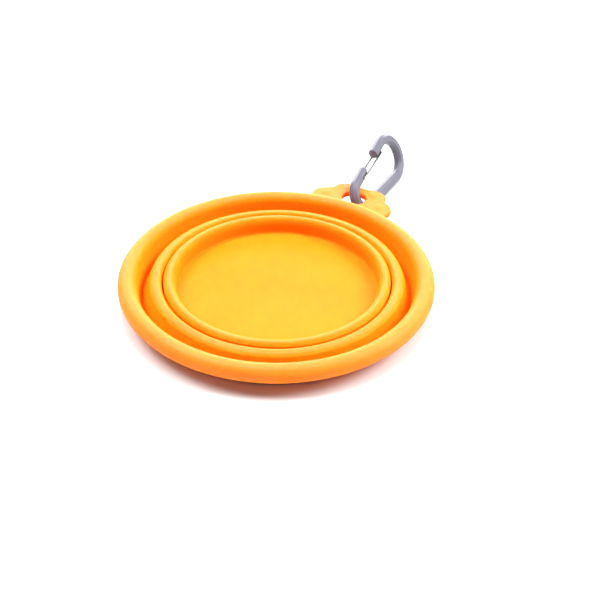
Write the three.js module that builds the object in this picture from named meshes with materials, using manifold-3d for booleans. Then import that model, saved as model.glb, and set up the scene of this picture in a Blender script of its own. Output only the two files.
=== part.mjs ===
// Collapsible travel bowl, folded flat, with its snap hook.
// Millimetres, +Z up. Origin: centre of the base's underside, on the surface
// the bowl stands on. The hanging tab points along +Y.
//
// The bowl is one soft moulding of stiff rings joined by two thin fold
// membranes. Its zones are separate meshes because they move against each
// other: base cup, inner fold, middle ring, outer fold, rim with outer wall,
// and the tab that is moulded to the rim. The hook and its wire gate are
// separate pieces.
import * as THREE from 'three';
import { mergeVertices } from 'three/addons/utils/BufferGeometryUtils.js';
import Module from 'manifold-3d';

const wasm = await Module();
wasm.setup();

// ---------------------------------------------------------------- dimensions
const SEG = 64;                 // steps around the bowl
// tab
const TAB_Z0 = 7.7;
const TAB_T = 2.6;
const TAB_ROOT_R = 65.25;       // the tab starts just outside the bead
const HOLE_V = 71.15;           // hole's centre, from the bowl's axis
const HOLE_A = 5.6;             // half width, along the rim
const HOLE_B = 4.6;             // half width, away from the bowl
const HOLE_N = 2.5;             // exponent of its rounded outline
const DOME_R = 3.0;             // raised pads on the tab's lobes
const DOME_H = 0.38;
// hook
const SMALL_R = 6.2;            // centre line of the small end
const BIG_R = 9.8;              // centre line of the big end
const ENDS = 31.5;              // small end's centre to big end's centre, along the spine
const BAR_W = 4.8;              // bar, in the hook's plane
const BAR_T = 4.4;              // bar, across the hook's plane
const BAR_C = 1.15;             // chamfer
const ARM_L = 9.5;              // arm that carries the gate
const NOSE_L = 8.5;             // nose that the gate closes on
const LEAN = 26 * Math.PI / 180; // lean of the hook's plane from upright
const STRIP_Y = 78.65;          // middle of the tab's strip outside the hole
const HOOK_X = 0.4;
// wire gate
const WIRE_R = 0.5;
const PIVOT_G = 5.0;            // pivot on the arm: along the gate line
const PIVOT_E = -0.9;           // and across it, negative towards the spine
const CATCH_G = 27.0;           // where the wire crosses behind the nose
const CATCH_E = -2.25;
const LEG_N = 2.05;             // each leg's distance from the hook's mid-plane
const POCKET_N = 1.3;           // half thickness left between the pockets

// -------------------------------------------------------------------- colours
const ORANGE = 0xffa01e;
const orange = () => new THREE.MeshStandardMaterial({ color: ORANGE, roughness: 0.6, metalness: 0.0 });
const grey = () => new THREE.MeshStandardMaterial({ color: 0x8c8c99, roughness: 0.38, metalness: 0.0 });
const steel = () => new THREE.MeshStandardMaterial({ color: 0xd8d4cf, roughness: 0.25, metalness: 1.0 });

// -------------------------------------------------------------------- helpers
const V2 = (x, y) => new THREE.Vector2(x, y);

function solid(geometry) {
  const g = geometry.clone();
  g.deleteAttribute('normal');
  g.deleteAttribute('uv');
  const m = mergeVertices(g, 1e-5);
  const idx = m.index.array, pos = m.attributes.position.array;
  const tris = [];
  for (let i = 0; i < idx.length; i += 3) {
    const [a, b, c] = [idx[i], idx[i + 1], idx[i + 2]];
    if (a !== b && b !== c && a !== c) tris.push(a, b, c);
  }
  // turn the surface outwards
  let v = 0;
  for (let i = 0; i < tris.length; i += 3) {
    const [a, b, c] = [tris[i] * 3, tris[i + 1] * 3, tris[i + 2] * 3];
    v += pos[a] * (pos[b + 1] * pos[c + 2] - pos[b + 2] * pos[c + 1])
       - pos[a + 1] * (pos[b] * pos[c + 2] - pos[b + 2] * pos[c])
       + pos[a + 2] * (pos[b] * pos[c + 1] - pos[b + 1] * pos[c]);
  }
  if (v < 0) for (let i = 0; i < tris.length; i += 3) [tris[i + 1], tris[i + 2]] = [tris[i + 2], tris[i + 1]];
  return new wasm.Manifold(new wasm.Mesh({
    numProp: 3, vertProperties: new Float32Array(pos), triVerts: new Uint32Array(tris) }));
}

function geometryOf(manifold) {
  const m = manifold.getMesh();
  const g = new THREE.BufferGeometry();
  const p = new Float32Array(m.numVert * 3);
  for (let i = 0; i < m.numVert; i++) for (let k = 0; k < 3; k++) p[3 * i + k] = m.vertProperties[m.numProp * i + k];
  g.setAttribute('position', new THREE.BufferAttribute(p, 3));
  g.setIndex(Array.from(m.triVerts));
  g.computeVertexNormals();
  return g;
}

function ring(points) {                    // closed profile of [radius, height]
  const pts = points.map(([r, z]) => V2(r, z));
  if (points[0][0] > 1e-6) pts.push(pts[0].clone());
  const g = new THREE.LatheGeometry(pts, SEG);
  g.rotateX(Math.PI / 2);
  return geometryOf(solid(g));
}

function piece(name, geometry, material) {
  const m = new THREE.Mesh(geometry, material);
  m.name = name;
  return m;
}

const arc = (cx, cy, r, a0, a1, n) => Array.from({ length: n + 1 }, (_, i) => {
  const a = (a0 + (a1 - a0) * i / n) * Math.PI / 180;
  return [cx + r * Math.cos(a), cy + r * Math.sin(a)];
});

// ----------------------------------------------------------- the bowl's rings
// Closed outlines of [radius, height] of each zone, folded flat. Neighbouring
// zones are parted by a quarter of a millimetre and do not overlap in radius
// where they slide past each other.
const rimProfile = [            // outer wall, from the valley up to the round rim bead and back down outside
  [55.82, 1.7], [57.57, 10.51], [57.94, 11.34], [58.59, 12.16], [59.21, 12.63], [60.29, 13.09], [61.45, 13.19],
  [62.35, 13.02], [63.29, 12.57], [64.16, 11.79], [64.64, 11.01], [64.95, 10.02], [65, 9.4], [64.96, 8.85],
  [64.66, 7.85], [64.2, 7.06], [63.34, 6.26], [62.65, 5.89], [61.9, 5.67], [61.12, 5.6], [59.38, 5.78], [59, 5.67],
  [58.69, 5.43], [58.47, 4.99], [57.76, 1.72], [57.56, 1.21], [56.93, 0.56], [56.43, 0.35], [56.02, 0.3],
];

const outerFoldProfile = [      // from the outer ridge's shoulder down to the valley under the rim
  [50.66, 10.32], [51.34, 10.02], [52.07, 9.55], [52.22, 9.38], [55.6, 1.62], [55.62, 0.36], [55.03, 0.58],
  [54.51, 1.09], [50.52, 8.46],
];

const middleProfile = [         // from the slit between the ridges up to the outer ridge
  [47.25, 2.5], [47.33, 2.71], [47.4, 9.06], [47.48, 9.42], [47.99, 10.14], [48.57, 10.54], [49.12, 10.62],
  [50.41, 10.4], [50.32, 8.62], [49.96, 8.61], [49.81, 8.5], [49.71, 8.3], [48.86, 1.76], [48.62, 1.31],
  [48.25, 0.95], [47.79, 0.73], [47.25, 0.65],
];

const innerFoldProfile = [      // from the inner ridge down to the slit
  [44.96, 11.1], [45.86, 10.64], [46.35, 10.22], [46.68, 9.8], [46.77, 2.67], [46.86, 2.49], [46.99, 2.43],
  [46.99, 0.68], [46.62, 0.8], [46.19, 1.08], [45.87, 1.48], [45.69, 1.95], [44.95, 8.74],
];

const baseProfile = [           // base disc, inner wall and inner ridge
  [0, 4], [40.55, 4], [40.88, 4.03], [41.35, 4.21], [41.62, 4.41], [41.93, 4.8], [42.11, 5.26], [42.17, 8.92],
  [42.28, 9.58], [42.52, 10.17], [42.93, 10.67], [43.47, 11.02], [44.09, 11.19], [44.71, 11.16], [44.77, 8.9],
  [44.62, 8.85], [44.55, 8.73], [43.47, 0.92], [43.32, 0.58], [43.09, 0.3], [42.72, 0.08], [42.3, 0], [0, 0],
];

// -------------------------------------------------------------------- the tab
// outline of one half: [along the rim, distance from the bowl's axis]
const half = [[0, 81.3], [3, 81.5], [6.2, 82.0], [9, 81.6], [11.4, 80.0], [12.7, 77.8], [13.3, 75.9], [14.4, 74.7],
  [16.6, 73.4], [18.7, 71.2], [19.6, 68.5], [19.3, 65.8], [18.85, 64.1], [19.2, 62.75]];
const spline = new THREE.CatmullRomCurve3(
  [...half.slice(1).reverse().map(([u, v]) => new THREE.Vector3(-u, v, 0)), ...half.map(([u, v]) => new THREE.Vector3(u, v, 0))],
  false, 'centripetal');
const outline = spline.getPoints(70).map((p) => V2(p.x, p.y));
const INSET = 61.5;                                  // drawn past the root, then cut back to it
const rootA = Math.asin(19.2 / INSET) * 180 / Math.PI;
const root = arc(0, 0, INSET, 90 - rootA, 90 + rootA, 10).map(([x, y]) => V2(x, y));
const tabShape = new THREE.Shape([...outline.slice(1, -1), ...root]);
const EDGE = 0.6;
const tabBody = solid(new THREE.ExtrudeGeometry(tabShape, {
  depth: TAB_T - 2 * EDGE, steps: 1, bevelEnabled: true, bevelThickness: EDGE, bevelSize: EDGE, bevelOffset: -EDGE, bevelSegments: 2, curveSegments: 4,
}).translate(0, 0, TAB_Z0 + EDGE));
const rootCut = solid(new THREE.CylinderGeometry(TAB_ROOT_R, TAB_ROOT_R, 30, 128).rotateX(Math.PI / 2));
const FLARE = 0.1;                                   // the hole's edges are broken, as the tab's are
const plug = new THREE.LatheGeometry([V2(0, -TAB_T), V2(1 + FLARE, -TAB_T), V2(1 + FLARE, -TAB_T / 2), V2(1, -TAB_T / 2 + EDGE),
  V2(1, TAB_T / 2 - EDGE), V2(1 + FLARE, TAB_T / 2), V2(1 + FLARE, TAB_T), V2(0, TAB_T)], 40).rotateX(Math.PI / 2);
for (let i = 0; i < plug.attributes.position.count; i++) {   // from round to rounded oblong
  const x = plug.attributes.position.getX(i), y = plug.attributes.position.getY(i), r = Math.hypot(x, y);
  if (r < 1e-6) continue;
  const k = r / Math.pow(Math.pow(Math.abs(x), HOLE_N) + Math.pow(Math.abs(y), HOLE_N), 1 / HOLE_N);
  plug.attributes.position.setXY(i, x * k * HOLE_A, y * k * HOLE_B);
}
const holePlug = solid(plug.translate(0, HOLE_V, TAB_Z0 + TAB_T / 2));
let tab = tabBody.subtract(rootCut).subtract(holePlug);
// a pad on each lobe: the cap of a sphere
const padR = (DOME_R * DOME_R + DOME_H * DOME_H) / (2 * DOME_H);
for (const [u, v] of [[6.4, 77.6], [13.7, 69.6], [-6.4, 77.6], [-13.7, 69.6]]) {
  const cap = solid(new THREE.LatheGeometry(
    [V2(0, -0.6), V2(DOME_R, -0.6), ...arc(0, DOME_H - padR, padR, 90 - Math.asin(DOME_R / padR) * 180 / Math.PI, 90, 4).map(([x, y]) => V2(Math.max(x, 0), y))], 20)
    .rotateX(Math.PI / 2).translate(u, v, TAB_Z0 + TAB_T));
  tab = tab.add(cap);
}

// ------------------------------------------------------------------- the hook
// In the hook's plane: s along the spine, p from the spine towards the gate,
// (0, 0) in the middle of the small end.
const rise = BIG_R - SMALL_R;
const TANG = 2 * Math.atan2(rise, ENDS);             // direction of the gate line
const tDeg = TANG * 180 / Math.PI;
const gDir = [Math.cos(TANG), Math.sin(TANG)];
const eDir = [-Math.sin(TANG), Math.cos(TANG)];
const T1 = [SMALL_R * eDir[0], SMALL_R * eDir[1]];
const gateToPlane = (g, e) => [T1[0] + g * gDir[0] + e * eDir[0], T1[1] + g * gDir[1] + e * eDir[1]];
const gateLen = Math.hypot(ENDS, rise) * Math.cos(Math.asin(rise / Math.hypot(ENDS, rise)));

function offsetLine(d) {                             // the bar's edge at distance d outside the centre line
  const o = [];
  o.push(gateToPlane(ARM_L, d));
  o.push(...arc(0, 0, SMALL_R + d, 90 + tDeg, 270, 18));
  o.push(...arc(ENDS, rise, BIG_R + d, -90, 90 + tDeg, 26));
  o.push(gateToPlane(gateLen - NOSE_L, d));
  return o;
}
const W = BAR_W / 2 - BAR_C;
const nose = [];                                     // blunt, slightly rounded ends
const outer = offsetLine(W), inner = offsetLine(-W).reverse();
const endCap = (g, sign) => [gateToPlane(g + sign * 0.55, W * 0.55), gateToPlane(g + sign * 0.55, -W * 0.55)];
const armCap = endCap(ARM_L, 1).reverse();
const noseCap = endCap(gateLen - NOSE_L, -1);
nose.push(...noseCap);
const hookShape = new THREE.Shape([...outer, ...nose, ...inner, ...armCap].map(([x, y]) => V2(x, y)));
let hook = solid(new THREE.ExtrudeGeometry(hookShape, {
  depth: BAR_T - 2 * BAR_C, steps: 1, bevelEnabled: true, bevelThickness: BAR_C, bevelSize: BAR_C, bevelSegments: 1, curveSegments: 1,
}).translate(0, 0, -(BAR_T / 2 - BAR_C)));

function boxInGate(g0, g1, e0, e1, n0, n1) {
  const b = new THREE.BoxGeometry(g1 - g0, e1 - e0, n1 - n0);
  b.translate((g0 + g1) / 2, (e0 + e1) / 2, (n0 + n1) / 2).rotateZ(TANG).translate(T1[0], T1[1], 0);
  return solid(b);
}
function rodInGate(g, e, r, n0, n1, sides) {
  const c = new THREE.CylinderGeometry(r, r, n1 - n0, sides).rotateX(Math.PI / 2);
  c.translate(g, e, (n0 + n1) / 2).rotateZ(TANG).translate(T1[0], T1[1], 0);
  return solid(c);
}
const gNose = gateLen - NOSE_L;
for (const [n0, n1] of [[POCKET_N, 4], [-4, -POCKET_N]]) {
  hook = hook.subtract(boxInGate(PIVOT_G - 1.1, ARM_L + 2, -4, PIVOT_E + 1.1, n0, n1));   // pockets on the arm
  hook = hook.subtract(boxInGate(gNose - 2.5, CATCH_G + 1.2, -4, -1.0, n0, n1));          // pockets on the nose
}
hook = hook.subtract(rodInGate(PIVOT_G, PIVOT_E, WIRE_R + 0.3, -4, 4, 14));               // bore for the wire's ends
hook = hook.subtract(rodInGate(CATCH_G, CATCH_E, WIRE_R + 0.3, -4, 4, 14));               // notch behind the nose
hook = hook.subtract(boxInGate(CATCH_G - WIRE_R - 0.3, CATCH_G + WIRE_R + 0.3, -5, CATCH_E, -4, 4));

// --------------------------------------------------------------- the wire gate
function filletPath(points, r) {                     // straight runs joined by arcs
  const out = [points[0]];
  for (let i = 1; i + 1 < points.length; i++) {
    const p = points[i];
    const a = points[i - 1].clone().sub(p).normalize(), b = points[i + 1].clone().sub(p).normalize();
    const half = Math.acos(THREE.MathUtils.clamp(a.dot(b), -1, 1)) / 2;
    const t = r / Math.tan(half);
    const centre = p.clone().add(a.clone().add(b).normalize().multiplyScalar(r / Math.sin(half)));
    const s = p.clone().add(a.clone().multiplyScalar(t)).sub(centre), e = p.clone().add(b.clone().multiplyScalar(t)).sub(centre);
    const total = s.angleTo(e), axis = s.clone().cross(e).normalize();
    for (let k = 0; k <= 6; k++) out.push(centre.clone().add(s.clone().applyAxisAngle(axis, total * k / 6)));
  }
  out.push(points[points.length - 1]);
  return out;
}
class Polyline extends THREE.Curve {
  constructor(points) { super(); this.p = points; }
  getPoint(t, target = new THREE.Vector3()) {
    const n = this.p.length - 1, x = Math.min(t * n, n - 1e-9), i = Math.floor(x);
    return target.copy(this.p[i]).lerp(this.p[i + 1], x - i);
  }
  getPointAt(u, target) { return this.getPoint(u, target); }
  getTangent(t, target = new THREE.Vector3()) {
    const n = this.p.length - 1, i = Math.round(t * n);
    const a = this.p[Math.max(i - 1, 0)], b = this.p[Math.min(i + 1, n)];
    return target.copy(b).sub(a).normalize();
  }
  getTangentAt(u, target) { return this.getTangent(u, target); }
}
const gateP = (g, e, n) => { const [s, p] = gateToPlane(g, e); return new THREE.Vector3(s, p, n); };
const wirePoints = filletPath([
  gateP(PIVOT_G, PIVOT_E, 0.45), gateP(PIVOT_G, PIVOT_E, LEG_N), gateP(CATCH_G, CATCH_E, LEG_N),
  gateP(CATCH_G, CATCH_E, -LEG_N), gateP(PIVOT_G, PIVOT_E, -LEG_N), gateP(PIVOT_G, PIVOT_E, -0.45),
], 0.75);
const wireSection = new THREE.Shape(arc(0, 0, WIRE_R, 0, 360, 10).slice(0, -1).map(([x, y]) => V2(x, y)));
const wire = solid(new THREE.ExtrudeGeometry(wireSection, {
  steps: wirePoints.length - 1, bevelEnabled: false, extrudePath: new Polyline(wirePoints), curveSegments: 1 }));

// ------------------------------------------------------------------- assembly
const bowl = new THREE.Group();
bowl.add(piece('base_cup', ring(baseProfile), orange()));
bowl.add(piece('inner_fold', ring(innerFoldProfile), orange()));
bowl.add(piece('middle_ring', ring(middleProfile), orange()));
bowl.add(piece('outer_fold', ring(outerFoldProfile), orange()));
bowl.add(piece('rim_wall', ring(rimProfile), orange()));
bowl.add(piece('hanging_tab', geometryOf(tab), orange()));

// the hook lies with its spine on the ground under the tab, leaning, its small
// end through the tab's hole
const support = Math.max(
  BAR_W / 2 * Math.cos(LEAN) + (BAR_T / 2 - BAR_C) * Math.sin(LEAN),
  (BAR_W / 2 - BAR_C) * Math.cos(LEAN) + BAR_T / 2 * Math.sin(LEAN));
const HOOK_Z = support + 0.02 + SMALL_R * Math.cos(LEAN);
const hookGroup = new THREE.Group();
const basis = new THREE.Matrix4().makeBasis(
  new THREE.Vector3(0, 1, 0),
  new THREE.Vector3(-Math.sin(LEAN), 0, Math.cos(LEAN)),
  new THREE.Vector3(Math.cos(LEAN), 0, Math.sin(LEAN)));
hookGroup.quaternion.setFromRotationMatrix(basis);
hookGroup.position.set(HOOK_X, STRIP_Y, HOOK_Z);
hookGroup.add(piece('hook_body', geometryOf(hook), grey()));
hookGroup.add(piece('wire_gate', geometryOf(wire), steel()));

const part = new THREE.Group();
part.add(bowl, hookGroup);

export default part;
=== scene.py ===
"""Looks of the collapsible travel bowl: soft silicone bowl, lobed hanging tab, snap hook and wire gate."""

import math

import bmesh
import bpy
import numpy as np
from mathutils import Matrix, Vector


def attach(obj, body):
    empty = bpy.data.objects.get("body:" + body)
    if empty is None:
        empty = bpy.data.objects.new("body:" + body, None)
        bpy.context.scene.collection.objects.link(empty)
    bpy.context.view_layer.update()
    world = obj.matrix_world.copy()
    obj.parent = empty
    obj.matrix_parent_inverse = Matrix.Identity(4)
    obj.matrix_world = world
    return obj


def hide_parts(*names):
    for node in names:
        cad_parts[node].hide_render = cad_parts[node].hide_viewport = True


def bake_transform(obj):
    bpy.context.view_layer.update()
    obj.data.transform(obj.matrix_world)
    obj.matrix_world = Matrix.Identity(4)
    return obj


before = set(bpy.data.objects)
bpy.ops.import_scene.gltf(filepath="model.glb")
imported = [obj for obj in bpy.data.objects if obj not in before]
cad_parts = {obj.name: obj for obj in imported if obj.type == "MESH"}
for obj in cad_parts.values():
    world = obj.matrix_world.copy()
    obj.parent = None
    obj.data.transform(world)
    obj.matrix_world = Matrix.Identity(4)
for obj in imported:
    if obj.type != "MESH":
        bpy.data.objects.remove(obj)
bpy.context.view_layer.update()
MM = 0.001

# ------------------------------------------------------------------ sizes, mm
AROUND = 288                       # steps around the bowl
BEAD = (61.2, 9.4, 3.8)           # rim bead: radius of its circle, height, own radius
BASE_TOP = 4.0
TAB_Z0, TAB_T = 7.7, 2.6
HOLE = (71.15, 5.6, 4.6, 2.5)    # hole: distance from the axis, half widths, exponent
LEAN = math.radians(26)
HOOK_AT = np.array((0.4, 78.65, 8.2099))
SMALL_R, BIG_R, ENDS = 6.2, 9.8, 31.5
BAR_W, BAR_T, BAR_C = 4.8, 4.4, 1.2
ARM_L, NOSE_L = 9.5, 8.5
WIRE_R = 0.5
PIVOT, CATCH, LEG_N = (5.0, -0.9), (27.0, -2.25), 2.05
POCKET_N = 1.3
PHOTO_TURN = math.radians(30)      # the tab points 60 degrees from the picture's right, and along +Y here


# -------------------------------------------------------------------- helpers
def mesh_object(name, verts, faces, material, smooth_angle=None):
    me = bpy.data.meshes.new(name)
    me.from_pydata([tuple(v) for v in np.asarray(verts) * MM], [], faces)
    me.validate()
    bm = bmesh.new()
    bm.from_mesh(me)
    bmesh.ops.recalc_face_normals(bm, faces=bm.faces)
    bm.to_mesh(me)
    bm.free()
    me.shade_smooth()
    if smooth_angle is not None:
        me.set_sharp_from_angle(angle=math.radians(smooth_angle))
    ob = bpy.data.objects.new(name, me)
    bpy.context.scene.collection.objects.link(ob)
    me.materials.append(material)
    return ob


def filleted(points, step=7.0):
    """(r, z, fillet radius) corners to a smooth open polyline; step is degrees per arc segment."""
    out = [np.array(points[0][:2], float)]
    for i in range(1, len(points) - 1):
        p = np.array(points[i][:2], float)
        rad = points[i][2] if len(points[i]) > 2 else 0.0
        a = np.array(points[i - 1][:2], float) - p
        b = np.array(points[i + 1][:2], float) - p
        a, b = a / np.linalg.norm(a), b / np.linalg.norm(b)
        if rad <= 0:
            out.append(p)
            continue
        half = math.acos(np.clip(a @ b, -1, 1)) / 2
        t = rad / math.tan(half)
        c = p + (a + b) / np.linalg.norm(a + b) * rad / math.sin(half)
        s, e = p + a * t - c, p + b * t - c
        a0, a1 = math.atan2(s[1], s[0]), math.atan2(e[1], e[0])
        d = (a1 - a0 + math.pi) % (2 * math.pi) - math.pi
        n = max(2, int(math.ceil(abs(math.degrees(d)) / step)))
        out += [c + rad * np.array((math.cos(a0 + d * k / n), math.sin(a0 + d * k / n))) for k in range(n + 1)]
    out.append(np.array(points[-1][:2], float))
    return np.array(out)


def spaced(line, longest=1.1):
    """Splits long straight runs, so that the mesh bends and shades evenly."""
    out = [line[0]]
    for a, b in zip(line[:-1], line[1:]):
        n = max(1, int(math.ceil(np.linalg.norm(b - a) / longest)))
        out += [a + (b - a) * k / n for k in range(1, n + 1)]
    keep = [out[0]]
    for p in out[1:]:
        if np.linalg.norm(p - keep[-1]) > 1e-4:
            keep.append(p)
    return np.array(keep)


def lathe(name, profile, material, closed):
    """Turns a profile of (r, z) about the axis. Ends on the axis become poles; a closed one joins its ends."""
    verts, rings = [], []
    ang = np.arange(AROUND) * 2 * math.pi / AROUND
    for r, z in profile:
        if r < 1e-6:
            rings.append([len(verts)])
            verts.append((0, 0, z))
        else:
            rings.append(list(range(len(verts), len(verts) + AROUND)))
            verts += [(r * math.cos(a), r * math.sin(a), z) for a in ang]
    faces = []
    pairs = list(zip(rings[:-1], rings[1:]))
    if closed:
        pairs.append((rings[-1], rings[0]))
    for A, B in pairs:
        for k in range(AROUND):
            j = (k + 1) % AROUND
            if len(A) == 1:
                faces.append((A[0], B[j], B[k]))
            elif len(B) == 1:
                faces.append((A[k], A[j], B[0]))
            else:
                faces.append((A[k], A[j], B[j], B[k]))
    return mesh_object(name, verts, faces, material)


def add_wear(ob):
    """How glossy the silicone is: little on the base and in the folds, most on the handled crests and the rim."""
    co = np.array([v.co for v in ob.data.vertices]) / MM
    level = np.array([v.normal.z for v in ob.data.vertices])
    r, z = np.hypot(co[:, 0], co[:, 1]), co[:, 2]
    low = np.where(r < 56, 0.86, 0.60)
    t = np.clip((level - low) / (1 - low), 0, 1) * (z > 7)
    t = np.maximum(t * t * (3 - 2 * t), 0.65 * np.clip((r - 62.3) / 1.5, 0, 1) * (level < 0.75))
    at = ob.data.attributes.new("worn", "FLOAT", "POINT")
    at.data.foreach_set("value", (0.06 + 0.54 * t + 0.08 * (z < 4.2) * (r < 41)).astype(np.float32))


# ------------------------------------------------------------------ materials
def new_material(name):
    m = bpy.data.materials.new(name)
    m.use_nodes = True
    nt = m.node_tree
    nt.nodes.clear()
    out = nt.nodes.new("ShaderNodeOutputMaterial")
    bsdf = nt.nodes.new("ShaderNodeBsdfPrincipled")
    nt.links.new(bsdf.outputs["BSDF"], out.inputs["Surface"])
    return m, nt, bsdf


def noise(nt, coords, scale, detail=3.0, rough=0.55):
    n = nt.nodes.new("ShaderNodeTexNoise")
    n.inputs["Scale"].default_value = scale
    n.inputs["Detail"].default_value = detail
    n.inputs["Roughness"].default_value = rough
    nt.links.new(coords, n.inputs["Vector"])
    return n.outputs["Fac"]


def ramp(nt, fac, stops):
    r = nt.nodes.new("ShaderNodeValToRGB")
    e = r.color_ramp.elements
    while len(e) < len(stops):
        e.new(0.5)
    for el, (pos, col) in zip(e, stops):
        el.position, el.color = pos, (*col, 1.0)
    nt.links.new(fac, r.inputs["Fac"])
    return r.outputs["Color"]


def mix(nt, fac, a, b, kind="MIX"):
    m = nt.nodes.new("ShaderNodeMix")
    m.data_type = "RGBA"
    m.blend_type = kind
    if isinstance(fac, float):
        m.inputs[0].default_value = fac
    else:
        nt.links.new(fac, m.inputs[0])
    for sock, v in ((m.inputs[6], a), (m.inputs[7], b)):
        if isinstance(v, tuple):
            sock.default_value = (*v, 1.0)
        else:
            nt.links.new(v, sock)
    return m.outputs[2]


def silicone_material():
    m, nt, b = new_material("orange_silicone")
    tex = nt.nodes.new("ShaderNodeTexCoord").outputs["Object"]
    cloud = noise(nt, tex, 38.0, 2.0)
    base = ramp(nt, cloud, [(0.30, (0.97, 0.185, 0.003)), (0.70, (0.98, 0.205, 0.004))])
    grain = noise(nt, tex, 2600.0, 2.0, 0.6)
    base = mix(nt, 0.10, base, ramp(nt, grain, [(0.35, (0.95, 0.16, 0.002)), (0.65, (0.99, 0.23, 0.006))]))
    dust = noise(nt, tex, 1500.0, 0.0)
    speck = ramp(nt, dust, [(0.80, (0, 0, 0)), (0.83, (1, 1, 1))])
    base = mix(nt, mix(nt, speck, (0.0, 0.0, 0.0), (0.35, 0.35, 0.35)), base, (0.98, 0.40, 0.12))
    nt.links.new(base, b.inputs["Base Color"])
    rough = ramp(nt, noise(nt, tex, 300.0, 3.0), [(0.3, (0.50, 0.50, 0.50)), (0.7, (0.60, 0.60, 0.60))])
    nt.links.new(rough, b.inputs["Roughness"])
    b.inputs["IOR"].default_value = 1.41
    worn = nt.nodes.new("ShaderNodeAttribute")               # handled crests and rim shine a little more
    worn.attribute_name = "worn"
    patchy = ramp(nt, noise(nt, tex, 70.0, 4.0), [(0.3, (0.75, 0.75, 0.75)), (0.7, (1.0, 1.0, 1.0))])
    nt.links.new(mix(nt, 1.0, worn.outputs["Color"], patchy, "MULTIPLY"), b.inputs["Specular IOR Level"])
    b.inputs["Subsurface Weight"].default_value = 1.0
    b.inputs["Subsurface Radius"].default_value = (1.0, 0.38, 0.05)
    b.inputs["Subsurface Scale"].default_value = 0.004
    bump = nt.nodes.new("ShaderNodeBump")
    bump.inputs["Strength"].default_value = 0.10
    bump.inputs["Distance"].default_value = 0.00006
    nt.links.new(noise(nt, tex, 3200.0, 2.0, 0.6), bump.inputs["Height"])
    nt.links.new(bump.outputs["Normal"], b.inputs["Normal"])
    return m


def hook_material():
    m, nt, b = new_material("grey_hook_plastic")
    tex = nt.nodes.new("ShaderNodeTexCoord").outputs["Object"]
    flow = noise(nt, tex, 90.0, 3.0)
    base = ramp(nt, flow, [(0.3, (0.092, 0.089, 0.120)), (0.7, (0.106, 0.103, 0.134))])
    fine = ramp(nt, noise(nt, tex, 3000.0, 2.0), [(0.35, (0.088, 0.085, 0.116)), (0.65, (0.112, 0.109, 0.140))])
    nt.links.new(mix(nt, 0.25, base, fine), b.inputs["Base Color"])
    rough = ramp(nt, noise(nt, tex, 420.0, 3.0), [(0.3, (0.32, 0.32, 0.32)), (0.7, (0.37, 0.37, 0.37))])
    nt.links.new(rough, b.inputs["Roughness"])
    b.inputs["IOR"].default_value = 1.52
    bump = nt.nodes.new("ShaderNodeBump")
    bump.inputs["Strength"].default_value = 0.05
    bump.inputs["Distance"].default_value = 0.00002
    nt.links.new(noise(nt, tex, 1800.0, 3.0), bump.inputs["Height"])
    nt.links.new(bump.outputs["Normal"], b.inputs["Normal"])
    return m


def wire_material():
    m, nt, b = new_material("steel_gate_wire")
    tex = nt.nodes.new("ShaderNodeTexCoord").outputs["Object"]
    fleck = noise(nt, tex, 1400.0, 4.0)
    nt.links.new(ramp(nt, fleck, [(0.3, (0.22, 0.212, 0.205)), (0.7, (0.30, 0.29, 0.28))]), b.inputs["Base Color"])
    nt.links.new(ramp(nt, noise(nt, tex, 2600.0, 2.0), [(0.3, (0.16, 0.16, 0.16)), (0.7, (0.30, 0.30, 0.30))]), b.inputs["Roughness"])
    b.inputs["Metallic"].default_value = 1.0
    return m


SILICONE, PLASTIC, STEEL = silicone_material(), hook_material(), wire_material()

# ------------------------------------------------- the bowl: one soft moulding
def belt(circles, step=9.0):
    """A smooth line round a chain of circles (r, z, radius, side), clockwise round +1 and the other way round -1."""
    c = [np.array(q[:2], float) for q in circles]
    k = [q[2] * q[3] for q in circles]
    head = []
    for i in range(len(c) - 1):
        d = c[i + 1] - c[i]
        head.append(math.atan2(d[1], d[0]) - math.asin((k[i] - k[i + 1]) / np.linalg.norm(d)))
    out = []
    for i in range(len(c)):
        h0, h1 = head[max(i - 1, 0)], head[min(i, len(head) - 1)]
        turn = (h1 - h0 + math.pi) % (2 * math.pi) - math.pi
        if circles[i][3] > 0 and turn > 1e-9:
            turn -= 2 * math.pi
        if circles[i][3] < 0 and turn < -1e-9:
            turn += 2 * math.pi
        n = max(1, int(math.ceil(abs(math.degrees(turn)) / step)))
        for j in range(n + 1):
            h = h0 + turn * j / n
            out.append(c[i] + k[i] * np.array((-math.sin(h), math.cos(h))))
    return np.array(out)


# One line round the moulding's section, folded flat: over the inside from the
# middle of the base to the rim, round the rim, and back underneath.
upper = [
    (0, BASE_TOP, 0, 1), (40.91, BASE_TOP + 1.0, 1.0, -1),                     # base and its corner
    (46.41, 7.90, 4.5, 1), (44.33, 9.1, 2.1, 1), (44.05, 8.0, 3.2, 1), (46.2, 9.66, 0.5, 1),   # inner ridge
    (47.05, 2.7, 0.28, -1),                                                     # the slit between the ridges
    (48.3, 9.05, 0.9, 1), (49.05, 9.2, 1.42, 1), (49.3, 6.35, 4.2, 1), (51.8, 9.15, 0.48, 1),   # outer ridge
    (55.7, 1.7, 0.12, -1),                                                      # valley under the rim
    (*BEAD, 1),                                                                 # rim
]
lower = [
    (59.45, 4.78, 1.0, -1), (56.0, 2.1, 1.8, 1),                               # outer wall, outer bend
    (50.15, 8.2, 0.45, -1), (47.3, 2.3, 1.65, 1),                               # under the outer ridge, inner bend
    (44.75, 8.7, 0.2, -1), (42.3, 1.2, 1.2, 1), (0, 0, 0, 1),                   # under the inner ridge, base
]
section = spaced(belt(upper + lower))

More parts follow.
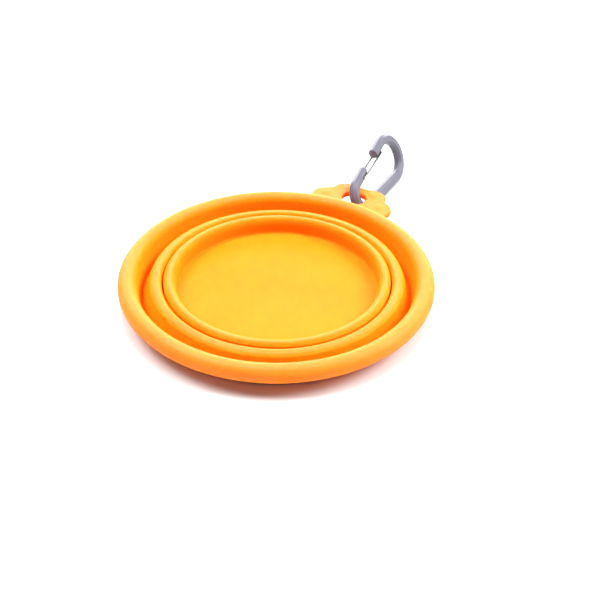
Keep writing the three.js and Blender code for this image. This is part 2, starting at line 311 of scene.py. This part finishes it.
# the two visual pieces meet under the slit, where the inner fold meets the middle ring
INNER_TRAVEL, OUTER_TRAVEL = 18.5, 18.0
idx = np.arange(len(section))
half_way = int(np.argmax(section[:, 0]))
slit = (section[:, 0] > 46.7) & (section[:, 0] < 47.4)
up_cut = idx[slit & (idx < half_way)][np.argmin(section[slit & (idx < half_way), 1])]
bend = (idx > half_way) & (section[:, 1] < 2.0) & (section[:, 0] > 46.5) & (section[:, 0] < 49.0)
lo_cut = idx[bend][np.argmin(np.abs(section[bend, 0] - 48.2))]


def first(test, lo, hi):
    return next(i for i in range(lo, hi) if test(*section[i]))


along = np.concatenate([[0], np.cumsum(np.linalg.norm(np.diff(section, axis=0), axis=1))])


def share(a, b):
    """0 before station a, 1 after station b, and evenly along the skin between them."""
    t = (along - along[a]) / (along[b] - along[a])
    return np.clip(t, 0, 1)


# How much of the next ring's travel each point of the skin takes part in. The
# upper skin is paid out evenly; the lower skin follows it, so that the opened
# wall keeps its thickness.
crest2 = first(lambda r, z: r > 46.55 and z > 9, 0, half_way)
crest1 = first(lambda r, z: r > 49.4 and z > 10, 0, half_way)
valley = up_cut + int(np.argmin(section[up_cut: half_way, 1] + 9 * (section[up_cut: half_way, 0] < 53)))
under2 = first(lambda r, z: r < 44.9 and z > 8, lo_cut, len(section))
under1 = first(lambda r, z: r < 50.3 and z > 7.5, half_way, lo_cut)
bend1 = first(lambda r, z: r < 56.1 and z < 2, half_way, lo_cut)
weight = np.zeros(len(section))
weight[: up_cut + 1] = share(crest2, up_cut)[: up_cut + 1]
opened = np.interp(section[lo_cut: under2 + 1, 0], (section[under2, 0], 46.0, 46.9, section[lo_cut, 0]),
                   (section[under2, 1], 7.8, 7.2, section[lo_cut, 1] + INNER_TRAVEL))
weight[lo_cut: under2 + 1] = np.clip((opened - section[lo_cut: under2 + 1, 1]) / INNER_TRAVEL, 0, 1)
w2 = np.ones(len(section))
w2[: half_way] = share(crest1, valley)[: half_way]
w2[half_way:] = 1 - share(bend1, under1)[half_way:]
skin_r, skin_z = section[crest1: valley + 1, 0], (section[:, 1] + OUTER_TRAVEL * w2)[crest1: valley + 1]
low_r, low_z = section[bend1: under1 + 1].T
above = np.interp(low_r, skin_r, skin_z)
wall = np.interp(low_r, (low_r[-1], skin_r[-1]), (above[-1] - low_z[-1], skin_z[-1] - low_z[0] - OUTER_TRAVEL))
wall += 1.1 * np.sin(np.linspace(0, math.pi, len(wall))) ** 0.7
w2[bend1: under1 + 1] = np.clip((above - wall - low_z) / OUTER_TRAVEL, 0, 1)

inner_part = np.vstack([section[: up_cut + 1], section[lo_cut:]])
outer_part = section[up_cut: lo_cut + 1]


def settle(profile_r):
    """How far each ring of the folded moulding sits off the axis, mm."""
    return np.interp(profile_r, (44.0, 47.0, 50.5, 55.0), (0.40, 0.20, 0.18, 0.0))


def push(ob):
    """Shifts the rings sideways by what they sit off the axis."""
    co = np.array([v.co for v in ob.data.vertices])
    d = settle(np.hypot(co[:, 0], co[:, 1]) / MM) * MM
    co[:, 0] += d * math.cos(PHOTO_TURN - 0.45)
    co[:, 1] += d * math.sin(PHOTO_TURN - 0.45)
    ob.data.vertices.foreach_set("co", co.ravel())
    ob.data.update()


inner = lathe("bowl_base_and_inner_fold", inner_part, SILICONE, closed=False)
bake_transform(inner)
add_wear(inner)
push(inner)
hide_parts("base_cup", "inner_fold")

outer = lathe("bowl_rings_outer_fold_and_rim", outer_part, SILICONE, closed=True)
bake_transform(outer)
add_wear(outer)
push(outer)
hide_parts("middle_ring", "outer_fold", "rim_wall")

# -------------------------------------------------------------------- the tab
half_outline = [(0, 81.3), (3, 81.5), (6.2, 82.0), (9, 81.6), (11.4, 80.0), (12.7, 77.8), (13.3, 75.9), (14.4, 74.7),
                (16.6, 73.4), (18.7, 71.2), (19.6, 68.5), (19.3, 65.8), (18.85, 64.2), (18.8, 62.6), (18.8, 61.0)]


def catmull(points, per):
    p = np.array(points, float)
    p = np.vstack([2 * p[0] - p[1], p, 2 * p[-1] - p[-2]])
    out = []
    for i in range(1, len(p) - 2):
        t = np.linspace(0, 1, per, endpoint=False)[:, None]
        a, b, c, d = p[i - 1], p[i], p[i + 1], p[i + 2]
        out.append(0.5 * ((2 * b) + (c - a) * t + (2 * a - 5 * b + 4 * c - d) * t**2 + (3 * b - a - 3 * c + d) * t**3))
    out.append(p[-2][None])
    return np.vstack(out)


right = catmull(half_outline, 10)
ring_outline = np.vstack([right, [(14.0, 58.8), (7.0, 60.4), (0.0, 60.8), (-7.0, 60.4), (-14.0, 58.8)], (right * (-1, 1))[::-1][:-1]])
centre = np.array((0.0, HOLE[0]))


def by_angle(poly, angles):
    """Where rays from the hole's middle meet a closed outline that they meet once."""
    d = poly - centre
    a = np.unwrap(np.arctan2(d[:, 1], d[:, 0]))
    r = np.hypot(d[:, 0], d[:, 1])
    if a[-1] < a[0]:
        a, r = a[::-1], r[::-1]
    a3 = np.concatenate([a - 2 * math.pi, a, a + 2 * math.pi])
    r3 = np.concatenate([r, r, r])
    base = a[0]
    x = (angles - base) % (2 * math.pi) + base
    rr = np.interp(x, a3, r3)
    return centre + np.stack([rr * np.cos(angles), rr * np.sin(angles)], 1)


TH = 360
ang = np.arange(TH) * 2 * math.pi / TH
edge = by_angle(ring_outline, ang)
hole_r = 1.0 / ((np.abs(np.cos(ang)) / HOLE[1]) ** HOLE[3] + (np.abs(np.sin(ang)) / HOLE[2]) ** HOLE[3]) ** (1 / HOLE[3])
hole_edge = centre + np.stack([hole_r * np.cos(ang), hole_r * np.sin(ang)], 1)


def inward(poly, sign):
    t = np.roll(poly, -1, 0) - np.roll(poly, 1, 0)
    n = np.stack([-t[:, 1], t[:, 0]], 1)
    n /= np.linalg.norm(n, axis=1)[:, None]
    return n * sign


n_edge, n_hole = inward(edge, 1), inward(hole_edge, -1)
R_OUT, R_HOLE, H = 1.0, 0.7, TAB_T / 2
rows = []                                       # rows of (xy, z above or below the middle)
for a in np.linspace(0, 90, 7):                 # up round the hole's edge
    c, s = math.cos(math.radians(a)), math.sin(math.radians(a))
    rows.append((hole_edge + n_hole * R_HOLE * (1 - c), (H - R_HOLE) + R_HOLE * s))
inner_flat, outer_flat = hole_edge + n_hole * R_HOLE, edge + n_edge * R_OUT
for t in np.linspace(0, 1, 42)[1:-1]:
    rows.append((inner_flat * (1 - t) + outer_flat * t, H))
for a in np.linspace(90, 0, 9):                 # down round the outer edge
    c, s = math.cos(math.radians(a)), math.sin(math.radians(a))
    rows.append((edge + n_edge * R_OUT * (1 - c), (H - R_OUT) + R_OUT * s))
verts, sides = [], []
zmid = TAB_Z0 + H
pads = [(6.4, 77.6, 3.1), (13.7, 69.6, 3.2), (-6.4, 77.6, 3.1), (-13.7, 69.6, 3.2)]
for sgn, order in ((1, rows), (-1, rows[::-1])):
    for xy, z in order:
        R = np.hypot(xy[:, 0], xy[:, 1])
        zz = np.full(TH, z)
        root = np.clip((66.2 - R) / 1.5, 0, 1.25)                # runs up on to the rim
        zz = zz + 0.8 * root**2
        if sgn > 0:
            for u, v, pr in pads:
                q = np.clip(np.hypot(xy[:, 0] - u, xy[:, 1] - v) / pr, 0, 1)
                zz = zz + 0.38 * (1 - q * q) ** 1.6 * (z >= H - 1e-6)
        sides.append(list(range(len(verts), len(verts) + TH)))
        verts += [(x, y, zmid + sgn * k) for (x, y), k in zip(xy, zz)]
faces = []
for i in range(len(sides)):
    A, B = sides[i], sides[(i + 1) % len(sides)]
    for k in range(TH):
        j = (k + 1) % TH
        faces.append((A[k], A[j], B[j], B[k]))
tab = mesh_object("hanging_tab_skin", verts, faces, SILICONE)
add_wear(tab)
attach(tab, "rim")
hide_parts("hanging_tab")

# ------------------------------------------------------------------- the hook
rise = BIG_R - SMALL_R
TANG = 2 * math.atan2(rise, ENDS)
g_dir = np.array((math.cos(TANG), math.sin(TANG)))
e_dir = np.array((-math.sin(TANG), math.cos(TANG)))
T1 = SMALL_R * e_dir
GATE_LEN = math.sqrt(ENDS**2 + rise**2 - rise**2)
to_part = Matrix((
    (0, -math.sin(LEAN), math.cos(LEAN), HOOK_AT[0]),
    (1, 0, 0, HOOK_AT[1]),
    (0, math.cos(LEAN), math.sin(LEAN), HOOK_AT[2]),
    (0, 0, 0, 1)))


def in_gate(g, e):
    return T1 + g * g_dir + e * e_dir


def hook_line():
    """The bar's centre line: arm, small end, spine, big end, nose."""
    pts = []
    t_deg = math.degrees(TANG)
    for g in np.linspace(ARM_L, 0, 10)[:-1]:
        pts.append(in_gate(g, 0))
    for a in np.linspace(90 + t_deg, 270, 34):
        pts.append(np.array((SMALL_R * math.cos(math.radians(a)), SMALL_R * math.sin(math.radians(a)))))
    for s in np.linspace(0, ENDS, 20)[1:-1]:
        pts.append(np.array((s, -SMALL_R)))
    for a in np.linspace(-90, 90 + t_deg, 56):
        pts.append(np.array((ENDS + BIG_R * math.cos(math.radians(a)), rise + BIG_R * math.sin(math.radians(a)))))
    for g in np.linspace(GATE_LEN, GATE_LEN - NOSE_L, 10)[1:]:
        pts.append(in_gate(g, 0))
    return np.array(pts)


def bar_section():
    """Chamfered bar with softened corners: across the plane's outside, and out of the plane."""
    w, t, c = BAR_W / 2, BAR_T / 2, BAR_C
    corners = [(w, t - c), (w - c, t), (-(w - c), t), (-w, t - c), (-w, -(t - c)), (-(w - c), -t), (w - c, -t), (w, -(t - c))]
    loop = corners + corners[:2]
    pts = filleted([(*loop[0], 0.0)] + [(*q, 0.3) for q in loop[1:-1]] + [(*loop[-1], 0.0)], step=12)[1:-1]
    out = []
    for a, b in zip(pts, np.roll(pts, -1, axis=0)):         # points close to the corners keep the flats flat
        out.append(a)
        span = np.linalg.norm(b - a)
        if span > 0.4:
            out += [a + (b - a) * 0.08 / span, b - (b - a) * 0.08 / span]
    return np.array(out)


line = hook_line()
tang = np.gradient(line, axis=0)
tang /= np.linalg.norm(tang, axis=1)[:, None]
outward = np.stack([tang[:, 1], -tang[:, 0]], 1)           # the line runs counter-clockwise round the loop
sec = bar_section()
verts, rings = [], []


def add_ring(p, o, scale, shift):
    rings.append(list(range(len(verts), len(verts) + len(sec))))
    for w, n in sec:
        q = p + o * w * scale + shift
        verts.append((q[0], q[1], n * scale))


END_R = 0.7
for k in (0.0, 0.35, 0.65, 0.88):                          # rounded end of the arm
    s = 1 - (1 - math.sqrt(max(0.0, 1 - (1 - k) ** 2))) * 0.34
    add_ring(line[0], outward[0], s, -tang[0] * END_R * (1 - k))
for p, o in zip(line, outward):
    add_ring(p, o, 1.0, np.zeros(2))
for k in (0.88, 0.65, 0.35, 0.0):                          # rounded nose
    s = 1 - (1 - math.sqrt(max(0.0, 1 - (1 - k) ** 2))) * 0.34
    add_ring(line[-1], outward[-1], s, tang[-1] * END_R * (1 - k))
faces = []
m = len(sec)
for A, B in zip(rings[:-1], rings[1:]):
    for k in range(m):
        faces.append((A[k], A[(k + 1) % m], B[(k + 1) % m], B[k]))
faces.append(tuple(rings[0][::-1]))
faces.append(tuple(rings[-1]))
hook = mesh_object("snap_hook", verts, faces, PLASTIC)


def cutter(points_2d, n0, n1, bevel=0.0):
    """A prism in the hook's own plane, from n0 to n1 across it."""
    k = len(points_2d)
    v = [(p[0], p[1], n0) for p in points_2d] + [(p[0], p[1], n1) for p in points_2d]
    f = [tuple(range(k))[::-1], tuple(range(k, 2 * k))] + [(i, (i + 1) % k, k + (i + 1) % k, k + i) for i in range(k)]
    ob = mesh_object("cutter", v, f, PLASTIC)
    return ob


def gate_box(g0, g1, e0, e1, rad=0.35):
    """A rectangle on the gate line with rounded corners."""
    q = []
    for (g, e), a0 in zip(((g1 - rad, e1 - rad), (g0 + rad, e1 - rad), (g0 + rad, e0 + rad), (g1 - rad, e0 + rad)), (0, 90, 180, 270)):
        for a in np.linspace(a0, a0 + 90, 6):
            q.append(in_gate(g + rad * math.cos(math.radians(a)), e + rad * math.sin(math.radians(a))))
    return q


def gate_disc(g, e, r, n=28):
    return [in_gate(g + r * math.cos(a), e + r * math.sin(a)) for a in np.arange(n) * 2 * math.pi / n]


g_nose = GATE_LEN - NOSE_L
cuts = []
for n0, n1 in ((POCKET_N, 5.0), (-5.0, -POCKET_N)):
    cuts.append(cutter(gate_box(PIVOT[0] - 1.1, ARM_L + 4, -5, PIVOT[1] + 1.1, 0.9), n0, n1))
    cuts.append(cutter(gate_box(g_nose - 4, CATCH[0] + 1.2, -5, -1.05, 0.5), n0, n1))
cuts.append(cutter(gate_disc(*PIVOT, WIRE_R + 0.22), -5, 5))
cuts.append(cutter(gate_box(CATCH[0] - 0.92, CATCH[0] + 0.92, -5, CATCH[1] + 0.92, 0.9), -5, 5))
for c in cuts:
    mod = hook.modifiers.new("cut", "BOOLEAN")
    mod.operation, mod.solver, mod.object = "DIFFERENCE", "EXACT", c
dg = bpy.context.evaluated_depsgraph_get()
cut_mesh = bpy.data.meshes.new_from_object(hook.evaluated_get(dg))
hook.modifiers.clear()
hook.data = cut_mesh
for c in cuts:
    bpy.data.objects.remove(c)
cut_mesh.shade_smooth()
cut_mesh.set_sharp_from_angle(angle=math.radians(28))
hook.matrix_world = Matrix.Scale(1, 4) @ Matrix.Translation(Vector((0, 0, 0)))
place = Matrix.Translation(to_part.translation * MM) @ to_part.to_3x3().to_4x4()
hook.data.transform(place)
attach(hook, "hook")
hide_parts("hook_body")

# -------------------------------------------------------------- the wire gate


def rounded_path(points, rad, seg=8):
    pts = [np.array(p, float) for p in points]
    out = [pts[0]]
    for i in range(1, len(pts) - 1):
        p = pts[i]
        a, b = pts[i - 1] - p, pts[i + 1] - p
        a, b = a / np.linalg.norm(a), b / np.linalg.norm(b)
        half = math.acos(np.clip(a @ b, -1, 1)) / 2
        c = p + (a + b) / np.linalg.norm(a + b) * rad / math.sin(half)
        t = rad / math.tan(half)
        s, e = p + a * t - c, p + b * t - c
        tot = math.acos(np.clip(s @ e / (np.linalg.norm(s) * np.linalg.norm(e)), -1, 1))
        for k in range(seg + 1):
            f = k / seg
            out.append(c + (math.sin((1 - f) * tot) * s + math.sin(f * tot) * e) / math.sin(tot))
    out.append(pts[-1])
    return np.array(out)


def gate_point(g, e, n):
    q = in_gate(g, e)
    return (q[0], q[1], n)


path = rounded_path([
    gate_point(*PIVOT, 0.45), gate_point(*PIVOT, LEG_N), gate_point(*CATCH, LEG_N),
    gate_point(*CATCH, -LEG_N), gate_point(*PIVOT, -LEG_N), gate_point(*PIVOT, -0.45)], 0.95)
tan3 = np.gradient(path, axis=0)
tan3 /= np.linalg.norm(tan3, axis=1)[:, None]
up = np.array((g_dir[0], g_dir[1], 0.0))
verts, rings = [], []
WN = 18
u = np.cross(tan3[0], up)
u /= np.linalg.norm(u)
for p, t in zip(path, tan3):
    u = u - t * (u @ t)
    u /= np.linalg.norm(u)
    w = np.cross(t, u)
    rings.append(list(range(len(verts), len(verts) + WN)))
    for k in range(WN):
        a = 2 * math.pi * k / WN
        verts.append(p + WIRE_R * (math.cos(a) * u + math.sin(a) * w))
faces = [tuple(rings[0][::-1]), tuple(rings[-1])]
for A, B in zip(rings[:-1], rings[1:]):
    for k in range(WN):
        faces.append((A[k], A[(k + 1) % WN], B[(k + 1) % WN], B[k]))
wire = mesh_object("wire_gate_loop", verts, faces, STEEL)
wire.data.transform(place)
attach(wire, "gate")
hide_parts("wire_gate")

# ------------------------------------------------------------ floor and light
floor_mat, fnt, fb = new_material("white_floor")
ftex = fnt.nodes.new("ShaderNodeTexCoord").outputs["Object"]
fnt.links.new(ramp(fnt, noise(fnt, ftex, 3.0, 2.0), [(0.3, (0.60, 0.60, 0.60)), (0.7, (0.62, 0.62, 0.62))]), fb.inputs["Base Color"])
fb.inputs["Roughness"].default_value = 0.85
fb.inputs["Specular IOR Level"].default_value = 0.1
floor = mesh_object("floor", [(880 * math.cos(k * math.tau / 96), 880 * math.sin(k * math.tau / 96), 0) for k in range(96)],
                    [tuple(range(96))], floor_mat)

def from_photo(v):
    c, s = math.cos(PHOTO_TURN), math.sin(PHOTO_TURN)
    return Vector((c * v[0] - s * v[1], s * v[0] + c * v[1], v[2]))


def area_light(name, at, look, size, power, color=(1, 1, 1), size_y=None):
    d = bpy.data.lights.new(name, "AREA")
    d.energy, d.color = power, color
    d.shape, d.size = ("RECTANGLE", size) if size_y else ("SQUARE", size)
    if size_y:
        d.size_y = size_y
    o = bpy.data.objects.new(name, d)
    bpy.context.scene.collection.objects.link(o)
    o.location = from_photo(at)
    o.rotation_mode = "QUATERNION"
    o.rotation_quaternion = (from_photo(look) - from_photo(at)).to_track_quat("-Z", "Y")
    return o


area_light("right_softbox", (0.95, 0.07, 0.90), (0, 0, 0), 0.75, 30.0)
area_light("left_softbox", (-0.60, 0.07, 1.05), (0, 0, 0), 0.6, 17.0)
area_light("top_softbox", (0, 0.07, 1.35), (0, 0, 0), 0.5, 10.6)
area_light("back_panel", (0, 1.7, 0.62), (0, 0, 0.1), 2.6, 46.0, size_y=1.1)
world = bpy.data.worlds.new("studio")
world.use_nodes = True
# a pale sweep: white at the level of the floor, softer overhead, and low in front of the bowl
wnt = world.node_tree
wcoord = wnt.nodes.new("ShaderNodeTexCoord").outputs["Generated"]
wdir = wnt.nodes.new("ShaderNodeSeparateXYZ")
wnt.links.new(wcoord, wdir.inputs[0])
wdot = wnt.nodes.new("ShaderNodeVectorMath")
wdot.operation = "DOT_PRODUCT"
wdot.inputs[1].default_value = from_photo((0, -1, 0))
wnt.links.new(wcoord, wdot.inputs[0])
wfront = wnt.nodes.new("ShaderNodeMath")
wfront.operation, wfront.use_clamp = "MULTIPLY", True
wfront.inputs[1].default_value = 1.6
wnt.links.new(wdot.outputs["Value"], wfront.inputs[0])
wsteep = wnt.nodes.new("ShaderNodeMath")
wsteep.operation = "MULTIPLY_ADD"
wsteep.inputs[1].default_value, wsteep.inputs[2].default_value = 4.0, 1.0
wnt.links.new(wfront.outputs[0], wsteep.inputs[0])
wlevel = wnt.nodes.new("ShaderNodeMath")
wlevel.operation = "MULTIPLY"
wnt.links.new(wsteep.outputs[0], wlevel.inputs[0])
wnt.links.new(wdir.outputs["Z"], wlevel.inputs[1])
wnt.links.new(ramp(wnt, wlevel.outputs[0], [(0.0, (1.0, 1.0, 1.0)), (0.24, (1.0, 1.0, 1.0)), (0.46, (0.34, 0.34, 0.34)), (1.0, (0.29, 0.29, 0.29))]),
              wnt.nodes["Background"].inputs["Color"])
wnt.nodes["Background"].inputs["Strength"].default_value = 1.0
bpy.context.scene.world = world
bpy.context.scene.view_settings.view_transform = "Standard"

# --------------------------------------------------------------------- camera
E, D, F_PX = math.radians(35.24), 0.43785, 1061.3
OX, OY = 276.72, 276.10            # where the bowl's axis at the rim's widest level falls in a 600 x 600 picture
tx, ty = (OX - 300) / F_PX, (OY - 300) / F_PX
yaw = math.atan(tx)
pitch = math.atan(-ty * math.cos(yaw))
target = Vector((0, 0, 9.7 * MM))
right_v, fwd = Vector((1, 0, 0)), Vector((0, math.cos(E), -math.sin(E)))
up_v = right_v.cross(fwd)
cx = right_v * math.cos(yaw) - up_v * math.sin(yaw) * math.sin(pitch) + fwd * math.sin(yaw) * math.cos(pitch)
cy = up_v * math.cos(pitch) + fwd * math.sin(pitch)
cz = -(-right_v * math.sin(yaw) + (-up_v * math.sin(pitch) + fwd * math.cos(pitch)) * math.cos(yaw))
cx, cy, cz = from_photo(cx), from_photo(cy), from_photo(cz)
cam_data = bpy.data.cameras.new("camera")
cam_data.sensor_fit, cam_data.sensor_width = "HORIZONTAL", 36.0
cam_data.lens = F_PX / 600 * 36.0
cam_data.clip_start, cam_data.clip_end = 0.01, 50
cam = bpy.data.objects.new("camera", cam_data)
bpy.context.scene.collection.objects.link(cam)
at = target + from_photo(-fwd * D)
cam.matrix_world = Matrix((
    (cx.x, cy.x, cz.x, at.x), (cx.y, cy.y, cz.y, at.y), (cx.z, cy.z, cz.z, at.z), (0, 0, 0, 1)))
bpy.context.scene.camera = cam

bpy.context.view_layer.update()
